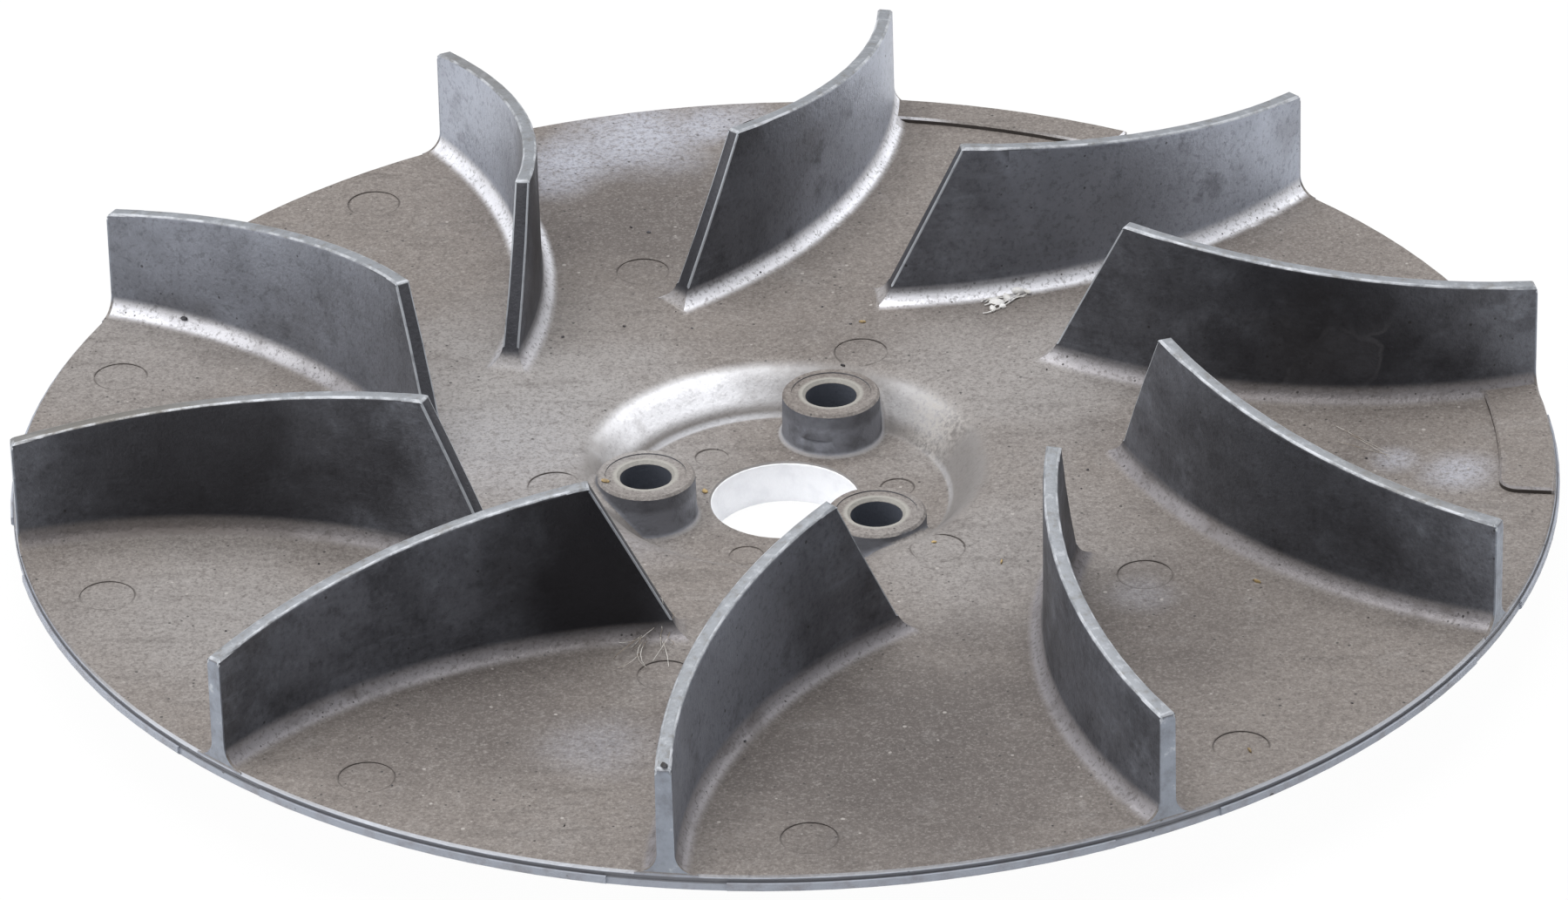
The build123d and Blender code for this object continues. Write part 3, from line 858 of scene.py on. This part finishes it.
@dataclass(frozen=True)
class EdgeHighlight:
    """Painted highlight along the blades' upright edges."""

    name: str = "Edge highlight"
    metallic: float = 0.4
    roughness: float = 0.5

    def build(self) -> Material:
        """Make the material."""
        mat, n, bsdf = solid_material(self.name)
        p = n.add("ShaderNodeTexCoord").outputs["Object"]
        cloud = n.noise(p, 400.0, 5.0, 0.65)
        # Painted highlight, broken up with the blade metal's tone.
        edge_highlight = n.washed(Tone.EDGE_HIGHLIGHT, cloud, (0.48, 0.75, 0.6, Tone.BLADE_METAL))
        n.link(edge_highlight, bsdf.inputs["Base Color"])
        bsdf.inputs["Metallic"].default_value = self.metallic
        bsdf.inputs["Roughness"].default_value = self.roughness
        return mat


@dataclass
class CastingSkin:
    """The casting itself, as one merged mesh under its finish."""

    finish: CastAluminium
    edge: EdgeHighlight
    merge_gap: float = 0.002 * MM
    upright_round: float = 0.32 * MM
    upright_bend: float = math.radians(55.0)
    nose_reach: float = 75.0 * MM
    nose_foot: float = -0.15 * MM
    tip_foot: float = 1.0 * MM
    crest_round: float = 0.20 * MM
    crest_bend: float = math.radians(27.0)
    crest_span: tuple[float, float] = (64.0 * MM, 123.0 * MM)
    crest_foot: float = 10.0 * MM
    steep_share: float = 0.6
    bevel_steps: int = 2
    boss_band: tuple[float, float] = (-0.10 * MM, 0.18 * MM)
    boss_ends: tuple[float, float] = (1.05 * MM, 0.20 * MM)
    smooth_angle: float = math.radians(32.0)

    def build(self, node: Object) -> Object:
        """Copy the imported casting, merge its loose triangles, round its blade edges and shade it.

        Args:
            node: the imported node.

        Returns:
            The dressed copy.
        """
        deselect()
        skin = node.copy()
        skin.data = node.data.copy()
        skin.name = "casting"
        for key in list(skin.keys()):
            del skin[key]
        skin.parent = None
        bpy.context.scene.collection.objects.link(skin)
        bpy.context.view_layer.objects.active = skin
        skin.select_set(True)
        skin.data.materials.clear()
        skin.data.materials.append(self.finish.build())
        skin.data.materials.append(self.edge.build())
        bpy.ops.object.mode_set(mode="EDIT")
        bpy.ops.mesh.select_all(action="SELECT")
        bpy.ops.mesh.remove_doubles(threshold=self.merge_gap)
        bpy.ops.mesh.customdata_custom_splitnormals_clear()
        LOG.info("upright edges: %d", self.select_edges(skin, self.is_upright))
        steps = self.bevel_steps
        # The bevel faces take the second material, the painted edge highlight.
        bpy.ops.mesh.bevel(offset=self.upright_round, segments=steps, affect="EDGES", material=1)
        LOG.info("crest edges: %d", self.select_edges(skin, self.is_crest))
        bpy.ops.mesh.bevel(offset=self.crest_round, segments=steps, affect="EDGES")
        bpy.ops.object.mode_set(mode="OBJECT")
        bpy.ops.object.shade_smooth_by_angle(angle=self.smooth_angle)
        bpy.ops.object.mode_set(mode="EDIT")
        LOG.info("boss side edges: %d", self.select_edges(skin, self.is_boss_side))
        bpy.ops.mesh.mark_sharp(clear=True)
        bpy.ops.object.mode_set(mode="OBJECT")
        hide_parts(NODE)
        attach(skin, BODY)
        return skin

    def on_blade(self, edge: BMEdge, foot: float, steep: bool) -> bool:
        """Whether an edge starts above a foot over the root rounding and is steep, or not, as asked."""
        s = self.finish.sizes
        low = (s.deck + s.root_round) * MM + foot
        lift = abs(edge.verts[0].co.z - edge.verts[1].co.z)
        is_steep = lift > self.steep_share * edge.calc_length()
        return min(v.co.z for v in edge.verts) > low and is_steep == steep

    def is_upright(self, edge: BMEdge) -> bool:
        """Whether an edge is one of the long sharp ones at a blade's nose or tip."""
        at_nose = max(v.co.xy.length for v in edge.verts) < self.nose_reach
        foot = self.nose_foot if at_nose else self.tip_foot
        return self.on_blade(edge, foot, steep=True) and edge.calc_face_angle(0.0) > self.upright_bend

    def is_crest(self, edge: BMEdge) -> bool:
        """Whether an edge is one of those along a blade's top, away from its corners."""
        near, far = self.crest_span
        in_span = all(near < v.co.xy.length < far for v in edge.verts)
        level = self.on_blade(edge, self.crest_foot, steep=False)
        return in_span and level and edge.calc_face_angle(0.0) > self.crest_bend

    def is_boss_side(self, edge: BMEdge) -> bool:
        """Whether an edge lies on the round side of a screw boss, clear of its top and its foot."""
        s = self.finish.sizes
        inner, outer = (s.boss_r * MM + part for part in self.boss_band)
        low, high = s.floor * MM + self.boss_ends[0], s.deck * MM - self.boss_ends[1]
        return any(
            all(inner < (v.co.xy - centre.xy).length < outer and low < v.co.z < high for v in edge.verts)
            for centre in s.boss_centres()
        )

    def select_edges(self, skin: Object,
                     wanted: Callable[[BMEdge], bool]) -> int:
        """Select the manifold edges that a test accepts.

        Args:
            skin: the object, in edit mode.
            wanted: the test.

        Returns:
            How many edges were selected.
        """
        bpy.ops.mesh.select_mode(type="EDGE")
        bpy.ops.mesh.select_all(action="DESELECT")
        mesh = bmesh.from_edit_mesh(skin.data)
        chosen = [edge for edge in mesh.edges if len(edge.link_faces) == 2 and wanted(edge)]
        for edge in chosen:
            edge.select = True
        bmesh.update_edit_mesh(skin.data)
        return len(chosen)


@dataclass(frozen=True)
class Matter:
    """Dull finish of the small things that lie on the casting."""

    name: str
    tone: Tone
    other: Tone
    scale: float = 900.0
    roughness: float = 0.8

    def build(self) -> Material:
        """Make the material."""
        mat, n, bsdf = solid_material(self.name)
        p = n.add("ShaderNodeTexCoord").outputs["Object"]
        grain = n.noise(p, self.scale, 4.0, 0.6)
        n.link(n.mix(n.ramp(grain, 0.40, 0.65), self.tone, self.other), bsdf.inputs["Base Color"])
        bsdf.inputs["Roughness"].default_value = self.roughness
        n.link(n.bumped(grain, strength=0.4, depth=0.0001), bsdf.inputs["Normal"])
        return mat


@dataclass(frozen=True)
class Crumb:
    """One bit of dirt on the casting, in millimetres and degrees."""

    x: float
    y: float
    length: float
    slim: float = 0.6
    turn: float = 0.0
    thick: float = 0.45
    sink: float = 0.2


class Landing:
    """Finds the top surface of the casting under a place in plan."""

    def __init__(self, skin: Object) -> None:
        """Keep the surface to land on."""
        bpy.context.view_layer.update()
        self.skin = skin

    def at(self, x: float, y: float) -> Vector:
        """Surface point under a place given in millimetres.

        Args:
            x: place along X.
            y: place along Y.

        Returns:
            The point, in metres.
        """
        start = Vector((x, y, 100.0)) * MM
        found, place, _, _ = self.skin.ray_cast(start, Vector((0.0, 0.0, -1.0)))
        return place if found else Vector((x * MM, y * MM, 0.0))


def settle(bits: list[Object], name: str, finish: Matter) -> Object:
    """Join bits into one named piece, give it its material and let it ride on the casting."""
    deselect()
    for bit in bits:
        bit.select_set(True)
    bpy.context.view_layer.objects.active = bits[0]
    bpy.ops.object.join()
    piece = bpy.context.active_object
    piece.name = name
    piece.data.materials.clear()
    piece.data.materials.append(finish.build())
    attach(piece, BODY)
    return piece


@dataclass
class LooseDirt:
    """Crumbs of one kind, joined into one piece."""

    name: str
    crumbs: tuple[Crumb, ...]
    finish: Matter
    landing: Landing
    lumpiness: float = 0.10
    smooth_angle: float = math.radians(40.0)

    def crumb(self, crumb: Crumb, seed: int) -> Object:
        """Shape one crumb from a ball and set it on the surface.

        Args:
            crumb: what to make.
            seed: seed of its lumps.

        Returns:
            The crumb.
        """
        deselect()
        size = crumb.length * MM
        bpy.ops.mesh.primitive_ico_sphere_add(subdivisions=2, radius=size / 2)
        bit = bpy.context.active_object
        bpy.ops.object.mode_set(mode="EDIT")
        bpy.ops.mesh.select_all(action="SELECT")
        bpy.ops.transform.vertex_random(offset=size * self.lumpiness, seed=seed)
        bpy.ops.transform.resize(value=(1.0, crumb.slim, crumb.thick))
        turn = math.radians(crumb.turn)
        bpy.ops.transform.rotate(value=turn, orient_axis="Z", center_override=(0, 0, 0))
        rise = Vector((0.0, 0.0, size * crumb.thick * (0.5 - crumb.sink)))
        bpy.ops.transform.translate(value=self.landing.at(crumb.x, crumb.y) + rise)
        bpy.ops.object.mode_set(mode="OBJECT")
        bpy.ops.object.shade_smooth_by_angle(angle=self.smooth_angle)
        return bit

    def build(self) -> Object:
        """Make every crumb and join them.

        Returns:
            The joined piece.
        """
        bits = [self.crumb(crumb, seed) for seed, crumb in enumerate(self.crumbs)]
        return settle(bits, self.name, self.finish)


@dataclass
class Strands:
    """Fine strands from one place to another, joined into one piece; lengths in millimetres."""

    name: str
    start: tuple[float, float]
    end: tuple[float, float]
    spread: float
    lift: float
    count: int
    thickness: float
    seed: int
    finish: Matter
    landing: Landing
    looseness: tuple[float, float] = (0.35, 1.0)
    arching: tuple[float, float] = (0.3, 1.0)
    curve_steps: int = 9

    def strand(self, rng: random.Random) -> Object:
        """Lay one curved strand."""
        deselect()
        bpy.ops.curve.primitive_bezier_curve_add(location=(0, 0, 0))
        strand = bpy.context.active_object
        strand.data.bevel_depth = self.thickness / 2 * MM
        strand.data.bevel_resolution = 1
        strand.data.resolution_u = self.curve_steps
        points = strand.data.splines[0].bezier_points
        for point, (x, y), loose in zip(points, (self.start, self.end), self.looseness):
            reach = self.spread * loose
            foot = self.landing.at(x + rng.uniform(-reach, reach), y + rng.uniform(-reach, reach))
            bend = Vector((rng.uniform(-reach, reach), rng.uniform(-reach, reach), 0.0)) * MM
            point.co = foot + Vector((0.0, 0.0, self.thickness * MM))
            rise = Vector((0.0, 0.0, rng.uniform(*self.arching) * self.lift * MM))
            point.handle_left = point.co + bend + rise
            point.handle_right = point.co + bend + rise
        bpy.ops.object.convert(target="MESH")
        return bpy.context.active_object

    def build(self) -> Object:
        """Lay all the strands and join them.

        Returns:
            The joined piece.
        """
        rng = random.Random(self.seed)
        return settle([self.strand(rng) for _ in range(self.count)], self.name, self.finish)


@dataclass
class Deposits:
    """All the loose matter on the casting: grit, straw, a hair tuft and a white residue."""

    landing: Landing
    grit_count: int = 46
    grit_seed: int = 11
    grit_reach: tuple[float, float] = (46.0, 121.0)
    grit_length: tuple[float, float] = (0.25, 0.6)
    grit_slim: tuple[float, float] = (0.4, 0.9)
    marked_grit: tuple[Crumb, ...] = (
        Crumb(-99.2, 48.9, 1.3, 0.8, 20, 0.5), Crumb(-19.0, -122.2, 1.5, 0.7, 75, 0.4),
        Crumb(-22.0, 78.0, 0.8, 0.7, 10), Crumb(-25.0, 80.0, 0.6, 0.7, 50),
        Crumb(10.0, 31.6, 0.9, 0.5, 30),
    )
    straw: tuple[Crumb, ...] = (
        Crumb(-28.9, -6.1, 1.5, 0.45, 25), Crumb(-13.0, 3.0, 1.3, 0.7, 70),
        Crumb(13.5, 45.1, 1.2, 0.4, 10), Crumb(34.0, -34.0, 1.3, 0.25, 100),
        Crumb(23.5, -27.0, 0.9, 0.6, 0), Crumb(-3.0, -30.0, 0.8, 0.5, 40),
        Crumb(74.0, -42.0, 1.6, 0.2, 35), Crumb(70.0, -92.0, 1.4, 0.25, 70),
    )
    residue: tuple[Crumb, ...] = (
        Crumb(36.0, 50.0, 2.8, 0.5, 15, 0.5, 0.15), Crumb(37.8, 51.4, 2.3, 0.5, 60, 0.6, 0.15),
        Crumb(39.6, 53.0, 2.2, 0.5, 10, 0.6, 0.15), Crumb(35.2, 48.2, 1.8, 0.6, 80, 0.5, 0.15),
        Crumb(41.2, 53.2, 1.5, 0.6, 30, 0.5, 0.15), Crumb(36.9, 49.0, 1.2, 0.8, 40, 0.7, 0.15),
    )

    def grit(self) -> tuple[Crumb, ...]:
        """Fine dark grit strewn over the deck between the blades."""
        rng = random.Random(self.grit_seed)
        strewn = []
        for _ in range(self.grit_count):
            spot = at_angle(rng.uniform(*self.grit_reach), rng.uniform(0.0, 360.0))
            length, slim = rng.uniform(*self.grit_length), rng.uniform(*self.grit_slim)
            strewn.append(Crumb(spot.x, spot.y, length, slim, rng.uniform(0.0, 180.0)))
        return self.marked_grit + tuple(strewn)

    def build(self) -> list[Object]:
        """Build each kind of deposit.

        Returns:
            The pieces.
        """
        dark = Matter("Dark grit", Tone.SPECK, Tone.NOSE_DARK)
        tan = Matter("Straw", Tone.STRAW, Tone.FIBRE)
        hair = Matter("Hair", Tone.LINT, Tone.FIBRE, scale=300.0)
        white = Matter("White residue", Tone.DRIP, Tone.LINT, scale=700.0, roughness=0.45)
        land = self.landing
        strings = Strands(
            "residue_strings", (40.5, 53.0), (35.5, 49.0), spread=2.2, lift=0.8, count=6, thickness=0.20,
            seed=3, finish=white, landing=land,
        )
        tuft = Strands(
            "hair_tuft", (-21.5, -47.0), (-23.0, -58.5), spread=5.0, lift=6.0, count=15, thickness=0.09,
            seed=5, finish=hair, landing=land,
        )
        stray = Strands(
            "stray_hairs", (98.0, -3.0), (91.0, 4.0), spread=2.6, lift=1.0, count=3, thickness=0.07,
            seed=8, finish=hair, landing=land,
        )
        dirt = (("grit", self.grit(), dark), ("straw_bits", self.straw, tan),
                ("residue_lumps", self.residue, white))
        lumps = [LooseDirt(name, crumbs, finish, land).build() for name, crumbs, finish in dirt]
        return lumps + [strands.build() for strands in (strings, tuft, stray)]


@dataclass(frozen=True)
class Lamp:
    """Soft box that faces the wheel's middle: place and size in metres, power in watts."""

    name: str
    place: tuple[float, float, float]
    size: tuple[float, float]
    power: float

    def build(self) -> Object:
        """Hang the lamp."""
        data = bpy.data.lights.new(self.name, "AREA")
        data.shape = "RECTANGLE"
        data.size, data.size_y = self.size
        data.energy = self.power
        lamp = bpy.data.objects.new(self.name, data)
        lamp.location = self.place
        lamp.rotation_euler = Vector(self.place).to_track_quat("Z", "Y").to_euler()
        bpy.context.scene.collection.objects.link(lamp)
        return lamp


LAMPS = (
    Lamp("overhead", (-0.12, 0.05, 1.1), (1.1, 0.8), 16.0),
    Lamp("left", (-1.0, -0.1, 0.5), (0.8, 0.6), 4.0),
    Lamp("right_back", (0.8, 0.7, 0.5), (0.6, 0.6), 3.0),
)


@dataclass
class Studio:
    """Floor, lamps, world and camera."""

    focal_pixels: float = 10433.37
    frame_width: int = 1800
    frame_height: int = 1033
    centre_x: float = 900.461
    centre_y: float = 528.342
    distance: float = 1469.6 * MM
    elevation: float = 30.037
    roll: float = -1.393
    aim_z: float = 14.6 * MM
    sensor: float = 36.0
    clip_end: float = 50.0
    floor_size: float = 6.0
    floor_tone: tuple[float, float, float] = (0.86, 0.86, 0.86)
    floor_glow: float = 0.975
    ambient: tuple[float, float, float] = (0.42, 0.43, 0.45)
    backdrop: tuple[float, float, float] = (1.0, 1.0, 1.0)

    def camera(self) -> Object:
        """Camera that looks at the middle of the deck from the front.

        Returns:
            The camera.
        """
        tilt = math.radians(self.elevation)
        back = Vector((0.0, -math.cos(tilt), math.sin(tilt)))
        right = Vector((1.0, 0.0, 0.0))
        up = back.cross(right)
        turn = math.radians(self.roll)
        side = right * math.cos(turn) + up * math.sin(turn)
        top = up * math.cos(turn) - right * math.sin(turn)
        data = bpy.data.cameras.new("Camera")
        data.sensor_fit = "HORIZONTAL"
        data.sensor_width = self.sensor
        data.lens = self.focal_pixels / self.frame_width * self.sensor
        data.shift_x = (self.frame_width / 2 - self.centre_x) / self.frame_width
        data.shift_y = (self.centre_y - self.frame_height / 2) / self.frame_width
        data.clip_end = self.clip_end
        cam = bpy.data.objects.new("Camera", data)
        frame = Matrix((side, top, back)).transposed().to_4x4()
        frame.translation = back * self.distance + Vector((0.0, 0.0, self.aim_z))
        cam.matrix_world = frame
        bpy.context.scene.collection.objects.link(cam)
        bpy.context.scene.camera = cam
        return cam

    def floor(self) -> Object:
        """Pale floor that keeps a soft shadow.

        Returns:
            The floor.
        """
        deselect()
        bpy.ops.mesh.primitive_plane_add(size=self.floor_size, location=(0, 0, 0))
        floor = bpy.context.active_object
        floor.name = "studio_floor"
        mat, n = blank_material("Pale floor")
        out = n.add("ShaderNodeOutputMaterial")
        matte = n.add("ShaderNodeBsdfDiffuse")
        matte.inputs["Color"].default_value = colour(self.floor_tone)
        glow = n.add("ShaderNodeEmission")
        rays = n.add("ShaderNodeLightPath")
        blend = n.add("ShaderNodeMixShader")
        n.link(n.math("MULTIPLY", rays.outputs["Is Camera Ray"], self.floor_glow), blend.inputs[0])
        n.link(matte.outputs[0], blend.inputs[1])
        n.link(glow.outputs[0], blend.inputs[2])
        n.link(blend.outputs[0], out.inputs["Surface"])
        floor.data.materials.append(mat)
        return floor

    def world(self) -> None:
        """White surroundings for the camera, a soft grey for everything else."""
        world = bpy.data.worlds.new("Studio")
        bpy.context.scene.world = world
        world.use_nodes = True
        world.node_tree.nodes.clear()
        n = Nodes(world.node_tree)
        out = n.add("ShaderNodeOutputWorld")
        back = n.add("ShaderNodeBackground")
        rays = n.add("ShaderNodeLightPath")
        shade = n.mix(rays.outputs["Is Camera Ray"], self.ambient, self.backdrop)
        n.link(shade, back.inputs["Color"])
        n.link(back.outputs[0], out.inputs["Surface"])

    def build(self) -> None:
        """Set up the whole studio."""
        self.camera()
        self.floor()
        self.world()
        for lamp in LAMPS:
            lamp.build()
        bpy.context.scene.view_settings.view_transform = "Standard"


def main() -> None:
    """Build the pieces in order and report each one."""
    logging.basicConfig(level=logging.INFO, format="%(name)s: %(message)s")
    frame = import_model()
    skin = CastingSkin(CastAluminium(), EdgeHighlight()).build(frame["nodes"][NODE])
    LOG.info("casting: %d vertices", len(skin.data.vertices))
    for piece in Deposits(Landing(skin)).build():
        LOG.info("%s: %d vertices", piece.name, len(piece.data.vertices))
    Studio().build()
    LOG.info("studio ready")


if __name__ == "__main__":
    main()
